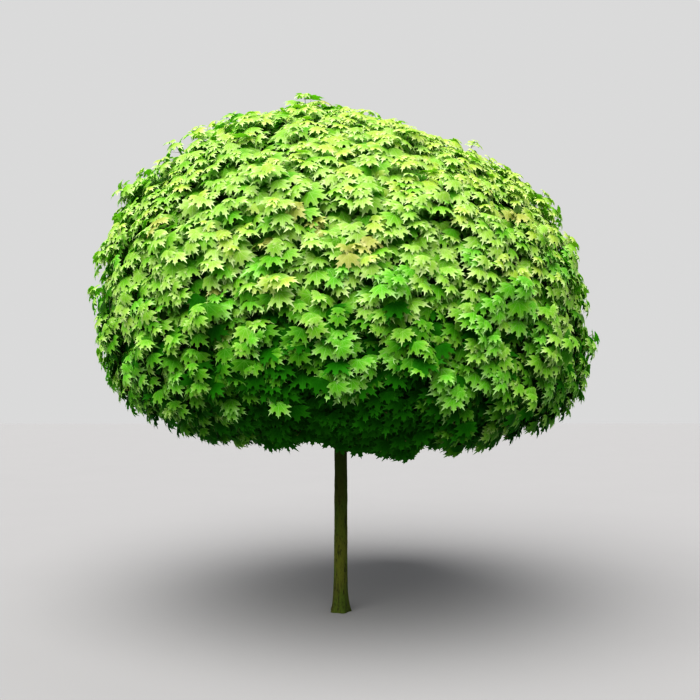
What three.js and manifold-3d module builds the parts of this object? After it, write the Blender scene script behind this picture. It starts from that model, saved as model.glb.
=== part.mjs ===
// A globe Norway maple grown as a standard: one clear, straight stem with a dense round head grafted
// on top. The trunk ends in the swollen graft, one bough runs from the graft to each mass of foliage,
// and each mass is a stem with twigs, leaves and a dense leafy core.
// Millimetres, +Z up, origin on the flat cut under the trunk. Seen from the front, +X is to the right.

import * as THREE from "three";
import { mergeVertices } from "three/addons/utils/BufferGeometryUtils.js";
import Module from "manifold-3d";

const wasm = await Module();
wasm.setup();

// Driving dimensions
const TREE_HEIGHT = 3775;
const CROWN_WIDTH = 3670;
const CROWN_EQUATOR = 2100; // height of the crown's widest ring
const CROWN_FOOT = 1075; // height of the lowest leaf tips
const GRAFT_HEIGHT = 1980;
const TRUNK_DIAMETER = 92; // one metre above the ground
const FIT_GAP = 0.3; // clear space between limbs that meet

// Trunk details
const TRUNK_TAPER = 0.0035; // radius lost for each millimetre of height
const TRUNK_BOW = 5; // to the right at half height
const TRUNK_LEAN = 8; // to the left at the graft
const ROOTS = { flare: 24, fade: 85, ridges: 5, ridgeDepth: 0.12 };
const PRUNED = { height: 810, swell: 2.5, length: 45 }; // ring left by an old side shoot
const TRUNK_RINGS = [0, 30, 80, 150, 260, 500, 720, 810, 900, 1200, 1600, GRAFT_HEIGHT];
const GRAFT_RADIUS = 84;
const GRAFT_FACES = [14, 8];

// Crown outline: a round dome above its widest ring and a squarer skirt below, with the swells and
// dips that show from the front, each with its rise as a share of the reach and its spread in degrees
const CROWN_CENTRE = new THREE.Vector3(0, 0, CROWN_EQUATOR);
const DOME_POWER = 2.1;
const SKIRT_POWER = 2.9;
const SWELLS = {
  tip: { towards: heading(235, 74), rise: 0.05, spread: 11 },
  leftShoulder: { towards: heading(180, 50), rise: 0.02, spread: 35 },
  leftDentAbove: { towards: heading(218, 63), rise: -0.06, spread: 9 },
  leftDentBelow: { towards: heading(197, 45), rise: -0.06, spread: 9 },
  rightShoulder: { towards: heading(330, 60), rise: -0.11, spread: 32 },
  leftCorner: { towards: heading(195, -28), rise: -0.045, spread: 22 },
  rightCorner: { towards: heading(345, -28), rise: 0.03, spread: 26 },
  frontCorner: { towards: heading(295, -42), rise: 0.07, spread: 24 },
};

// Tiers of foliage. Each mass has a bough that leaves the graft at one elevation, in degrees, and
// ends on the line from the crown's centre towards the middle of the mass.
const TIERS = [
  { name: "top", count: 1, turn: 0, elevation: 90, boughLeaves: 90 },
  { name: "upper", count: 5, turn: 18, elevation: 42, boughLeaves: 56 },
  { name: "skirt", count: 8, turn: 0, elevation: -8, boughLeaves: 14 },
];
const MASS_GAP = 10; // clear space between two masses
const TRUNK_ROOM = 260; // masses stay this far from the trunk's line

// Shares of the crown's reach
const BOUGH_END = 0.45;
const ARM_STARTS = [0.58, 0.64, 0.7]; // along a stem
const CORE_INNER = 0.85;
const IN_CORE = 0.872; // where stems and arms end and twigs start
const CORE_OUTER = 0.9;

const BOUGH_RADII = [21, 13];
const STEM_RADII = [12.5, 9];
const ARM_RADII = [6.5, 5];
const TWIG_RADII = [5, 3];
const BOUGH_FACES = { sides: 7, steps: 4 };
const STEM_FACES = { sides: 5, steps: 1 };
const TWIG_FACES = { sides: 3, steps: 1 };
const ARM_LEAN = 16; // degrees from its stem, seen from the crown's centre
const CORE_DETAIL = 3;
const CORE_LUMPS = 0.02;
const CORE_OPENING = 700; // radius left open around the trunk under the crown

// Twigs end on a spiral lattice of points, evenly spread from the top of the crown to its underside
const TWIG_COUNT = 248;
const LOWEST_TWIG = -0.7; // sine of the lowest twig's elevation
const GOLDEN_TURN = Math.PI * (3 - Math.sqrt(5));
const TWIG_SCATTER = 0.05;
const TWIG_PULLS = [0, 0.1, 0.2, 0.3, 0.4]; // drawn in towards the stem until its leaf fits
const TWIG_DEPTHS = [0.985, 0.95, 0.91, 0.87]; // share of the crown's reach at the twig's tip

// A leaf stands for a spray, so it is about twice life size. Its rim runs from the middle lobe's tip
// to the stalk end, as shares of its length across and along, and it is thickest at its middle.
const LEAF_LENGTH = 340;
const LEAF_THICKNESS = 15;
const LEAF_DROOP = 0.35;
const LEAF_RIM = [
  [0, 1],
  [0.2, 0.66],
  [0.6, 0.74],
  [0.36, 0.42],
  [0.52, 0.12],
  [0, 0],
];
const LEAF_MIDDLE = 0.34;
const LEAF_JOINT = 0.2; // where the twig's tip runs into the blade
const LEAF_LIFT = LEAF_DROOP * LEAF_MIDDLE * (LEAF_MIDDLE - LEAF_JOINT); // to the blade's middle there
const LEAF_SIZES = [1, 0.85, 0.7]; // tried in turn until the leaf fits its space
const LEAF_SPACING = 235; // between the middles of two leaves

const BARK = { color: 0x4a462c, roughness: 0.9 };
const LEAVES = {
  top: { color: 0xa8c85d, roughness: 0.55 },
  upper: { color: 0x86b64c, roughness: 0.55 },
  skirt: { color: 0x5b9536, roughness: 0.6 },
};

function heading(azimuth, elevation) {
  const [a, e] = [azimuth, elevation].map(THREE.MathUtils.degToRad);
  return new THREE.Vector3(Math.cos(e) * Math.cos(a), Math.cos(e) * Math.sin(a), Math.sin(e));
}

// A repeatable scatter between -1 and 1 for each twig and each use
function scatter(index, use) {
  const wave = Math.sin(index * 12.9898 + use * 78.233) * 43758.5453;
  return 2 * (wave - Math.floor(wave)) - 1;
}

// A closed three.js geometry as a solid that can be joined and cut
function solid(geometry) {
  const bare = new THREE.BufferGeometry();
  const loose = geometry.index ? geometry.toNonIndexed() : geometry;
  bare.setAttribute("position", loose.getAttribute("position").clone());
  const merged = mergeVertices(bare, 1e-3);
  const corners = merged.index.array;
  const kept = [];
  for (let i = 0; i < corners.length; i += 3) {
    const [a, b, c] = corners.subarray(i, i + 3);
    if (a !== b && b !== c && c !== a) kept.push(a, b, c);
  }
  return new wasm.Manifold(
    new wasm.Mesh({
      numProp: 3,
      vertProperties: merged.attributes.position.array,
      triVerts: new Uint32Array(kept),
    }),
  );
}

// The largest body of a solid as a geometry, with loose scraps and sealed hollows left out
function geometryOf(made) {
  const body = made.decompose().reduce((best, next) => (next.volume() > best.volume() ? next : best));
  const mesh = body.getMesh();
  const geometry = new THREE.BufferGeometry();
  geometry.setAttribute("position", new THREE.BufferAttribute(mesh.vertProperties, 3));
  geometry.setIndex(new THREE.BufferAttribute(mesh.triVerts, 1));
  geometry.computeVertexNormals();
  return geometry;
}

function eachVertex(geometry, move) {
  const position = geometry.getAttribute("position");
  const vertex = new THREE.Vector3();
  for (let i = 0; i < position.count; i++) {
    vertex.fromBufferAttribute(position, i);
    move(vertex);
    position.setXYZ(i, vertex.x, vertex.y, vertex.z);
  }
  return geometry;
}

// A limb that tapers along a curve: a cylinder bent to the curve, with its cuts square to it
function limb(curve, [startRadius, endRadius], { sides, steps }) {
  const { normals, binormals } = curve.computeFrenetFrames(steps, false);
  const cylinder = new THREE.CylinderGeometry(1, 1, 1, sides, steps);
  return eachVertex(cylinder, (v) => {
    const along = THREE.MathUtils.clamp(0.5 + v.y, 0, 1);
    const step = Math.round(along * steps);
    const radius = THREE.MathUtils.lerp(startRadius, endRadius, along);
    const { x, z } = v;
    v.copy(curve.getPointAt(along));
    v.addScaledVector(normals[step], z * radius).addScaledVector(binormals[step], x * radius);
  });
}

// How far the foliage reaches from the crown's centre in a direction
function crownReach(direction) {
  const above = direction.z > 0;
  const power = above ? DOME_POWER : SKIRT_POWER;
  const depth = above ? TREE_HEIGHT - CROWN_EQUATOR : CROWN_EQUATOR - CROWN_FOOT;
  const across = Math.hypot(direction.x, direction.y) / (CROWN_WIDTH / 2);
  const reach = (across ** power + (Math.abs(direction.z) / depth) ** power) ** (-1 / power);
  const swells = Object.values(SWELLS).map(({ towards, rise, spread }) => {
    const apart = THREE.MathUtils.radToDeg(direction.angleTo(towards)) / spread;
    return rise * Math.exp(-(apart ** 2));
  });
  return swells.reduce((total, swell) => total + reach * swell, reach);
}

function crownPoint(direction, share) {
  return CROWN_CENTRE.clone().addScaledVector(direction, share * crownReach(direction));
}

const masses = TIERS.flatMap((tier) =>
  Array.from({ length: tier.count }, (_, i) => ({
    tier,
    name: tier.count > 1 ? `${tier.name}_${i + 1}` : tier.name,
    azimuth: tier.turn + (360 * i) / tier.count,
    axis: heading(tier.turn + (360 * i) / tier.count, tier.elevation),
    leafMiddles: [],
  })),
);

// A mass keeps to the part of the crown that is nearer to its own axis than to any other
function fits(points, mass) {
  return points.every((point) => {
    const spoke = point.clone().sub(CROWN_CENTRE);
    const direction = spoke.clone().normalize();
    const inOutline = spoke.length() <= crownReach(direction) && point.z >= CROWN_FOOT;
    const offTrunk = point.z > CROWN_EQUATOR || Math.hypot(point.x, point.y) > TRUNK_ROOM;
    return inOutline && offTrunk && masses.every((other) => {
      if (other === mass) return true;
      const apart = mass.axis.clone().sub(other.axis).normalize();
      return spoke.dot(apart) >= MASS_GAP / 2;
    });
  });
}

// The trunk's middle line: a faint bow to the right and a lean to the left
function trunkLine(height) {
  const up = height / GRAFT_HEIGHT;
  return new THREE.Vector3(TRUNK_BOW * Math.sin(Math.PI * up) - TRUNK_LEAN * up ** 2, 0, height);
}

const GRAFT_CENTRE = trunkLine(GRAFT_HEIGHT);

// Trunk: a tapering stem that flares to five low root ridges, with a faint ring where an old side
// shoot was pruned, and the swollen graft at its head
function trunk() {
  const radiusAt = (height) => {
    const taper = TRUNK_DIAMETER / 2 + (1000 - height) * TRUNK_TAPER;
    const flare = ROOTS.flare * Math.exp(-height / ROOTS.fade);
    return taper + flare + PRUNED.swell * Math.exp(-(((height - PRUNED.height) / PRUNED.length) ** 2));
  };
  const side = TRUNK_RINGS.map((height) => new THREE.Vector2(radiusAt(height), height));
  const profile = [new THREE.Vector2(0, 0), ...side, new THREE.Vector2(0, GRAFT_HEIGHT)];
  const stem = new THREE.LatheGeometry(profile, GRAFT_FACES[0]).rotateX(Math.PI / 2);
  eachVertex(stem, (v) => {
    const ridge = Math.cos(ROOTS.ridges * Math.atan2(v.y, v.x)) * Math.exp(-v.z / ROOTS.fade);
    const swell = 1 + ROOTS.ridgeDepth * ridge;
    const middle = trunkLine(v.z);
    v.set(middle.x + v.x * swell, middle.y + v.y * swell, v.z);
  });
  return geometryOf(solid(stem).add(solid(graft(GRAFT_RADIUS))));
}

function graft(radius) {
  const { x, y, z } = GRAFT_CENTRE;
  return new THREE.SphereGeometry(radius, ...GRAFT_FACES).rotateX(Math.PI / 2).translate(x, y, z);
}

// Bough: leaves the graft at its tier's angle and arches over to the middle of its mass
function bough(mass) {
  const tip = crownPoint(mass.axis, BOUGH_END);
  const stretch = tip.distanceTo(GRAFT_CENTRE);
  const leaving = heading(mass.azimuth, mass.tier.boughLeaves);
  const curve = new THREE.CubicBezierCurve3(
    GRAFT_CENTRE,
    GRAFT_CENTRE.clone().addScaledVector(leaving, 0.42 * stretch),
    tip.clone().addScaledVector(mass.axis, -0.3 * stretch),
    tip,
  );
  const whole = solid(limb(curve, BOUGH_RADII, BOUGH_FACES));
  return geometryOf(whole.subtract(solid(graft(GRAFT_RADIUS + 2 * FIT_GAP))));
}

// Leaf with the twig's tip at the origin, its middle lobe along +Y and its upper face to +Z: a flat
// cone whose rim is drawn out to five drooping lobes
function leafBlade(length) {
  const last = 2 * (LEAF_RIM.length - 1);
  const blade = eachVertex(new THREE.ConeGeometry(1, 1, last, 1), (v) => {
    if (Math.hypot(v.x, v.z) < 0.5) {
      v.set(0, (LEAF_MIDDLE - LEAF_JOINT) * length, (Math.sign(v.y) * LEAF_THICKNESS) / 2);
      return;
    }
    const place = (Math.round((Math.atan2(v.x, v.z) * last) / (2 * Math.PI)) + last) % last;
    const [across, along] = LEAF_RIM[Math.min(place, last - place)];
    const hand = place > last / 2 ? 1 : -1;
    const droop = LEAF_DROOP * (across ** 2 + (along - LEAF_MIDDLE) ** 2);
    v.set(hand * across, along - LEAF_JOINT, -droop).multiplyScalar(length);
  });
  return blade.translate(0, 0, LEAF_LIFT * length);
}

// Leaves hang like roof tiles: the upper face looks out and up, and the middle lobe points down and
// out
function leafPose(at, index) {
  const outward = at.clone().sub(CROWN_CENTRE).normalize();
  const face = outward.clone().multiplyScalar(0.8);
  face.add(new THREE.Vector3(0.2 * scatter(index, 1), 0.2 * scatter(index, 2), 0.5)).normalize();
  const away = new THREE.Vector3(outward.x, outward.y, 0).multiplyScalar(0.6);
  const tip = away.add(new THREE.Vector3(0.1 * scatter(index, 3), 0.1 * scatter(index, 4), -0.8));
  tip.addScaledVector(face, -tip.dot(face)).normalize();
  const side = tip.clone().cross(face);
  return new THREE.Matrix4().makeBasis(side, tip, face).setPosition(at);
}

// The largest leaf that fits at a twig's tip, clear of the middles of the leaves before it, or nothing
function leaf(at, index, mass) {
  const pose = leafPose(at, index);
  for (const size of LEAF_SIZES) {
    const length = LEAF_LENGTH * size;
    const middle = new THREE.Vector3(0, (LEAF_MIDDLE - LEAF_JOINT) * length, 0).applyMatrix4(pose);
    if (mass.leafMiddles.some((other) => other.distanceTo(middle) < LEAF_SPACING)) continue;
    const blade = leafBlade(length).applyMatrix4(pose);
    const points = [];
    eachVertex(blade, (v) => points.push(v.clone()));
    if (!fits(points, mass)) continue;
    mass.leafMiddles.push(middle);
    return blade;
  }
  return null;
}

function twigTarget(index) {
  const z = 1 - ((1 - LOWEST_TWIG) * (index + 0.5)) / TWIG_COUNT;
  const turn = index * GOLDEN_TURN;
  const across = Math.sqrt(1 - z * z);
  return new THREE.Vector3(
    across * Math.cos(turn) + TWIG_SCATTER * scatter(index, 5),
    across * Math.sin(turn) + TWIG_SCATTER * scatter(index, 6),
    z,
  ).normalize();
}

function nearestMass(direction) {
  return masses.reduce((best, next) =>
    next.axis.dot(direction) > best.axis.dot(direction) ? next : best,
  );
}

// Arms fan out from the stem into the core, evenly turned about it
function arms(mass) {
  const across = new THREE.Vector3(-mass.axis.y, mass.axis.x, 0);
  if (across.length() < 1e-6) across.set(1, 0, 0);
  across.normalize();
  const lean = mass.axis.clone().applyAxisAngle(across, THREE.MathUtils.degToRad(ARM_LEAN));
  return ARM_STARTS.map((share, i) => {
    const towards = lean.clone().applyAxisAngle(mass.axis, (2 * Math.PI * i) / ARM_STARTS.length);
    return new THREE.LineCurve3(crownPoint(mass.axis, share), crownPoint(towards, IN_CORE));
  });
}

// Twig with a leaf at its tip, drawn in towards the stem until the leaf fits. In the core it springs
// from the nearest end of an arm or of the stem.
function twig(index, target, mass) {
  const buds = [...arms(mass).map((arm) => arm.v2), crownPoint(mass.axis, IN_CORE)];
  for (const depth of TWIG_DEPTHS) {
    for (const pull of TWIG_PULLS) {
      const direction = target.clone().lerp(mass.axis, pull).normalize();
      const tip = crownPoint(direction, depth);
      const blade = leaf(tip, index, mass);
      if (!blade) continue;
      buds.sort((a, b) => a.distanceTo(tip) - b.distanceTo(tip));
      return [limb(new THREE.LineCurve3(buds[0], tip), TWIG_RADII, TWIG_FACES), blade];
    }
  }
  return [];
}

// Dense inner leafage: a shell under the crown's surface, open below around the trunk, of which each
// mass has the part in its own space
function crownSolid(share) {
  return solid(eachVertex(new THREE.IcosahedronGeometry(1, CORE_DETAIL), (v) => {
    const lump = scatter(Math.round(100 * v.x) + 3 * Math.round(100 * v.y), Math.round(100 * v.z));
    v.copy(crownPoint(v.normalize(), share * (1 + CORE_LUMPS * lump)));
  }));
}

function leafyShell() {
  const drum = new THREE.CylinderGeometry(CORE_OPENING, CORE_OPENING, 2 * CROWN_EQUATOR, 12);
  const opening = solid(drum.rotateX(Math.PI / 2));
  return crownSolid(CORE_OUTER).subtract(crownSolid(CORE_INNER)).subtract(opening);
}

function core(mass, shell) {
  const block = 2 * TREE_HEIGHT;
  return masses.filter((other) => other !== mass).reduce((left, other) => {
    const away = other.axis.clone().sub(mass.axis).normalize();
    const beyond = new THREE.BoxGeometry(block, block, block).translate(0, 0, (block - MASS_GAP) / 2);
    beyond.applyQuaternion(new THREE.Quaternion().setFromUnitVectors(new THREE.Vector3(0, 0, 1), away));
    beyond.translate(...CROWN_CENTRE.toArray());
    return left.subtract(solid(beyond));
  }, shell);
}

const twigsOf = new Map(masses.map((mass) => [mass, []]));
for (let index = 0; index < TWIG_COUNT; index++) {
  const target = twigTarget(index);
  const mass = nearestMass(target);
  twigsOf.get(mass).push(...twig(index, target, mass));
}

// Mass of foliage: a stem that grows on from its bough, with its core, twigs and leaves joined to it
function foliage(mass, shell) {
  const foot = crownPoint(mass.axis, BOUGH_END).addScaledVector(mass.axis, FIT_GAP);
  const stem = limb(new THREE.LineCurve3(foot, crownPoint(mass.axis, IN_CORE)), STEM_RADII, STEM_FACES);
  const branches = arms(mass).map((arm) => limb(arm, ARM_RADII, TWIG_FACES));
  const pieces = [stem, ...branches, ...twigsOf.get(mass)].map(solid);
  return geometryOf(wasm.Manifold.union([core(mass, shell), ...pieces]));
}

function piece(name, geometry, { color, roughness }) {
  const material = new THREE.MeshStandardMaterial({ color, roughness, metalness: 0 });
  const mesh = new THREE.Mesh(geometry, material);
  mesh.name = name;
  return mesh;
}

const limbs = new THREE.Group();
limbs.name = "limbs";
limbs.add(piece("trunk", trunk(), BARK));
limbs.add(...masses.map((mass) => piece(`bough_${mass.name}`, bough(mass), BARK)));

const crown = new THREE.Group();
crown.name = "crown";
const shell = leafyShell();
crown.add(...masses.map((mass) => {
  return piece(`foliage_${mass.name}`, foliage(mass, shell), LEAVES[mass.tier.name]);
}));

const tree = new THREE.Group();
tree.name = "globe_maple";
tree.add(limbs, crown);

export default tree;
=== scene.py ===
import math

import bmesh
import bpy
import numpy as np
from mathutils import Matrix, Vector, geometry, kdtree, noise


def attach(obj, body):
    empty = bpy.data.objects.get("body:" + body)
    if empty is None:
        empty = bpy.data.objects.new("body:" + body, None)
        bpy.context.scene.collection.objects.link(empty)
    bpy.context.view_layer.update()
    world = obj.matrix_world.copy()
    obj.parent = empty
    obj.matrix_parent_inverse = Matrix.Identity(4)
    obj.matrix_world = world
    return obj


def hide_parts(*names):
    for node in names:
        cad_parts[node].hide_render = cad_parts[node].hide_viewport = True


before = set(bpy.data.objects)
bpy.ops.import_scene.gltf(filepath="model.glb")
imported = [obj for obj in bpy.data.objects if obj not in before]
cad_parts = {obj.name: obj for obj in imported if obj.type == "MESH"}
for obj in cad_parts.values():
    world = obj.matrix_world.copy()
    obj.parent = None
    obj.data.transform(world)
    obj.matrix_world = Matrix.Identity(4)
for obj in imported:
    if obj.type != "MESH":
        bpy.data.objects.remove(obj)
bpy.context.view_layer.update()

# Camera
# Eye height, nearly six metres in front of the trunk, tipped up a little and turned slightly to the
# right, with a lens that gives the tree its size in the frame.
EYE = (0.0, -5.8, 1.5)
TIPPED_UP = 4.14
TURNED_RIGHT = 0.7
SENSOR_WIDTH = 36.0
LENS = 39.75


def placed(name, data):
    """A new object of the scene, at the origin and unturned."""
    piece = bpy.data.objects.new(name, data)
    bpy.context.scene.collection.objects.link(piece)
    return piece


camera_data = bpy.data.cameras.new("camera")
camera_data.sensor_width = SENSOR_WIDTH
camera_data.lens = LENS
camera = placed("camera", camera_data)
camera.location = EYE
camera.rotation_euler = (math.radians(90 + TIPPED_UP), 0.0, math.radians(-TURNED_RIGHT))
bpy.context.scene.camera = camera

# Trunk and boughs
# One clear stem with a swollen graft at its head, from which a bough runs to each mass of the round
# crown. It is living wood under thin bark with shallow furrows, grown together into a single skin.
TREE_HEIGHT = 3.775
CROWN_WIDTH = 3.67
CROWN_EQUATOR = 2.1
CROWN_FOOT = 1.075
CROWN_CENTRE = np.array([0.0, 0.0, CROWN_EQUATOR])
DOME_POWER = 2.1
SKIRT_POWER = 2.9
GRAFT_HEIGHT = 1.98
GRAFT_RADIUS = 0.084
TRUNK_DIAMETER = 0.092
TRUNK_TAPER = 0.0035
TRUNK_BOW = 0.005
TRUNK_LEAN = 0.008
ROOT_FLARE = 0.024
ROOT_FADE = 0.085
ROOT_RIDGES = 5
ROOT_RIDGE_DEPTH = 0.12
PRUNED_HEIGHT = 0.81
PRUNED_SWELL = 0.0025
PRUNED_LENGTH = 0.045
BELOW_GROUND = 0.02
TRUNK_RINGS = 240
TRUNK_SIDES = 48
KNOB_RINGS = 24
KNOB_SIDES = 32
KNOB_ANGLE = 1.5
BOUGH_RADII = (0.021, 0.013)
BOUGH_END = 0.45
BOUGH_LEAVING = 0.42
BOUGH_ARRIVING = 0.3
BOUGH_STEPS = 60
BOUGH_SIDES = 18
BARK_VOXEL = 0.0054
CROTCH_SMOOTHING = 0.5
CROTCH_ROUNDS = 4
STEEP = 0.9
UP = np.array([0.0, 0.0, 1.0])
SIDEWAYS = np.array([1.0, 0.0, 0.0])


def heading(azimuth, elevation):
    """The unit direction of an azimuth and an elevation in degrees."""
    a, e = math.radians(azimuth), math.radians(elevation)
    return np.array([math.cos(e) * math.cos(a), math.cos(e) * math.sin(a), math.sin(e)])


def unit(vectors):
    return vectors / np.linalg.norm(vectors, axis=-1, keepdims=True)


# Swells and dips of the crown's outline: direction, rise as a share of the reach, spread in degrees
SWELLS = [
    (heading(235, 74), 0.05, 11),
    (heading(180, 50), 0.02, 35),
    (heading(218, 63), -0.06, 9),
    (heading(197, 45), -0.06, 9),
    (heading(330, 60), -0.11, 32),
    (heading(195, -28), -0.045, 22),
    (heading(345, -28), 0.03, 26),
    (heading(295, -42), 0.07, 24),
]


def swelling(directions, swells):
    """What swells and dips, each a direction, a height and a spread, add along unit directions."""
    total = np.zeros(directions.shape[:-1])
    for towards, height, spread in swells:
        apart = np.degrees(np.arccos(np.clip(directions @ towards, -1, 1))) / spread
        total += height * np.exp(-(apart**2))
    return total


def crown_reach(directions):
    """How far the foliage reaches from the crown's centre along unit directions."""
    rise = directions[..., 2]
    power = np.where(rise > 0, DOME_POWER, SKIRT_POWER)
    depth = np.where(rise > 0, TREE_HEIGHT - CROWN_EQUATOR, CROWN_EQUATOR - CROWN_FOOT)
    across = np.hypot(directions[..., 0], directions[..., 1]) / (CROWN_WIDTH / 2)
    reach = (across**power + (np.abs(rise) / depth) ** power) ** (-1 / power)
    return reach * (1 + swelling(directions, SWELLS))


def crown_point(directions, share):
    """Points at a share of the reach along unit directions."""
    return CROWN_CENTRE + directions * (share * crown_reach(directions))[..., None]


# Masses of foliage: for each tier its count, turn, elevation and the angle its boughs leave at
TIERS = [(1, 0, 90, 90), (5, 18, 42, 56), (8, 0, -8, 14)]
masses = [
    (turn + 360 * i / count, elevation, leaves_at)
    for count, turn, elevation, leaves_at in TIERS
    for i in range(count)
]
mass_axes = np.array([heading(azimuth, elevation) for azimuth, elevation, _ in masses])
bough_starts = np.array([heading(azimuth, leaves_at) for azimuth, _, leaves_at in masses])


def bezier(controls, count):
    """Points along many Bezier curves at once; each control is an array with a row a curve."""
    t = np.linspace(0, 1, count)[:, None, None]
    points = [np.asarray(control)[None] for control in controls]
    while len(points) > 1:
        points = [a + (b - a) * t for a, b in zip(points, points[1:])]
    return points[0].transpose(1, 0, 2)


def limb_frames(paths):
    """Directions along each path and two directions square to it that do not twist."""
    along = unit(np.gradient(paths, axis=1))
    first = along[:, 0]
    steep = np.abs(first[:, 2:]) > STEEP
    normal = np.cross(first, np.where(steep, SIDEWAYS, UP))
    normals = []
    for step in range(paths.shape[1]):
        ahead = along[:, step]
        normal = unit(normal - ahead * (normal * ahead).sum(1, keepdims=True))
        normals.append(normal)
    normals = np.stack(normals, 1)
    return along, normals, np.cross(along, normals)


def swept(paths, radii, sides):
    """Closed round limbs along many paths: vertices, then arrays of wall and end faces."""
    limbs, steps = paths.shape[:2]
    _, normals, sideways = limb_frames(paths)
    angles = 2 * np.pi * np.arange(sides) / sides
    spokes = normals[:, :, None] * np.cos(angles)[:, None]
    spokes = spokes + sideways[:, :, None] * np.sin(angles)[:, None]
    vertices = paths[:, :, None] + spokes * np.broadcast_to(radii, (limbs, steps))[:, :, None, None]
    corner = np.arange(limbs * steps * sides).reshape(limbs, steps, sides)
    low, high = corner[:, :-1], corner[:, 1:]
    walls = np.stack([low, np.roll(low, -1, 2), np.roll(high, -1, 2), high], -1).reshape(-1, 4)
    ends = np.concatenate([corner[:, 0, ::-1], corner[:, -1]])
    return vertices.reshape(-1, 3), [walls, ends]


def joined(groups):
    """Several swept groups as one list of vertices and faces."""
    vertices, faces, before = [], [], 0
    for points, kinds in groups:
        vertices.append(points)
        faces += [kind + before for kind in kinds]
        before += len(points)
    return np.concatenate(vertices), faces


def made_piece(name, vertices, faces):
    """A smooth mesh object from an array of vertices and arrays of faces."""
    mesh = bpy.data.meshes.new(name)
    mesh.from_pydata(vertices.tolist(), [], [face for kind in faces for face in kind.tolist()])
    mesh.shade_smooth()
    return placed(name, mesh)


def trunk_middle(height):
    """The middle of the stem at a height, with its faint bow and lean."""
    up = height / GRAFT_HEIGHT
    bow = TRUNK_BOW * np.sin(np.pi * up) - TRUNK_LEAN * up**2
    return np.stack([bow, np.zeros_like(height), height], -1)


def trunk_radius(height):
    """The stem's radius at a height, with the root flare and the old pruning ring."""
    taper = TRUNK_DIAMETER / 2 + (1.0 - height) * TRUNK_TAPER
    flare = ROOT_FLARE * np.exp(-height / ROOT_FADE)
    return taper + flare + PRUNED_SWELL * np.exp(-(((height - PRUNED_HEIGHT) / PRUNED_LENGTH) ** 2))


heights = np.linspace(-BELOW_GROUND, GRAFT_HEIGHT, TRUNK_RINGS)
trunk_path = trunk_middle(heights)[None]
trunk_points, trunk_faces = swept(trunk_path, trunk_radius(heights)[None], TRUNK_SIDES)
ring_middles = trunk_middle(trunk_points[:, 2])
trunk_spokes = trunk_points - ring_middles
trunk_turn = np.arctan2(trunk_spokes[:, 1], trunk_spokes[:, 0])
root_ridges = np.cos(ROOT_RIDGES * trunk_turn) * np.exp(-trunk_points[:, 2] / ROOT_FADE)
trunk_points = ring_middles + trunk_spokes * (1 + ROOT_RIDGE_DEPTH * root_ridges)[:, None]

graft_centre = trunk_middle(np.array(GRAFT_HEIGHT))
knob_rise = GRAFT_RADIUS * np.sin(np.linspace(-KNOB_ANGLE, KNOB_ANGLE, KNOB_RINGS))
knob_path = graft_centre + knob_rise[:, None] * UP
knob = swept(knob_path[None], np.sqrt(GRAFT_RADIUS**2 - knob_rise**2)[None], KNOB_SIDES)

bough_tips = crown_point(mass_axes, BOUGH_END)
bough_stretch = np.linalg.norm(bough_tips - graft_centre, axis=1, keepdims=True)
bough_paths = bezier(
    [
        np.repeat(graft_centre[None], len(masses), 0),
        graft_centre + bough_starts * BOUGH_LEAVING * bough_stretch,
        bough_tips - mass_axes * BOUGH_ARRIVING * bough_stretch,
        bough_tips,
    ],
    BOUGH_STEPS,
)
boughs = swept(bough_paths, np.linspace(*BOUGH_RADII, BOUGH_STEPS), BOUGH_SIDES)

limbs = made_piece("limbs_before_bark", *joined([(trunk_points, trunk_faces), knob, boughs]))
remesh = limbs.modifiers.new("one skin", "REMESH")
remesh.mode = "VOXEL"
remesh.voxel_size = BARK_VOXEL
smooth = limbs.modifiers.new("crotches", "SMOOTH")
smooth.factor = CROTCH_SMOOTHING
smooth.iterations = CROTCH_ROUNDS
bark_mesh = bpy.data.meshes.new_from_object(limbs.evaluated_get(bpy.context.evaluated_depsgraph_get()))
bpy.data.objects.remove(limbs)

cut = bmesh.new()
cut.from_mesh(bark_mesh)
bmesh.ops.bisect_plane(
    cut,
    geom=cut.verts[:] + cut.edges[:] + cut.faces[:],
    plane_co=(0, 0, 0),
    plane_no=(0, 0, 1),
    clear_inner=True,
)
bmesh.ops.holes_fill(cut, edges=[edge for edge in cut.edges if edge.is_boundary], sides=0)
bmesh.ops.triangulate(cut, faces=[face for face in cut.faces if len(face.verts) > 4])
bmesh.ops.recalc_face_normals(cut, faces=cut.faces)
cut.to_mesh(bark_mesh)
cut.free()

# Each point of the bark knows its place across and along its own limb, so the furrows follow it.
# Waves are counted a metre across and along the limb, with a shift that keeps the patterns apart.
LIMBS_APART = 3.0
RIDGE_WAVES = (48, 7.5, 0.0)
FLAKE_WAVES = (95, 22, 5.0)
BURR_WAVES = (16, 9, 11.0)
CREASE = 2.2
RIDGE_SHARE = 0.62
FURROW_DEPTH = 0.0034
FURROW_AGEING = 1.3
BURR_DEPTH = 0.0022
AGE_LIMITS = (0.2, 1.1)
GROUND_NEAR = 1e-5
limb_lines = [trunk_path[0], *bough_paths]
line_points = np.concatenate(limb_lines)
line_frames = [limb_frames(line[None]) for line in limb_lines]
line_normals = np.concatenate([frames[1][0] for frames in line_frames])
line_sideways = np.concatenate([frames[2][0] for frames in line_frames])
line_lengths = np.concatenate(
    [
        LIMBS_APART * i + np.concatenate([[0], np.cumsum(np.linalg.norm(np.diff(line, axis=0), axis=1))])
        for i, line in enumerate(limb_lines)
    ]
)
nearest = kdtree.KDTree(len(line_points))
for i, point in enumerate(line_points):
    nearest.insert(point, i)
nearest.balance()
bark_points = np.empty(len(bark_mesh.vertices) * 3, np.float32)
bark_mesh.vertices.foreach_get("co", bark_points)
bark_points = bark_points.reshape(-1, 3).astype(float)
bark_normals = np.array([vertex.normal for vertex in bark_mesh.vertices])
line_index = np.array([nearest.find(point)[1] for point in bark_points])
spokes = bark_points - line_points[line_index]
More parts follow.
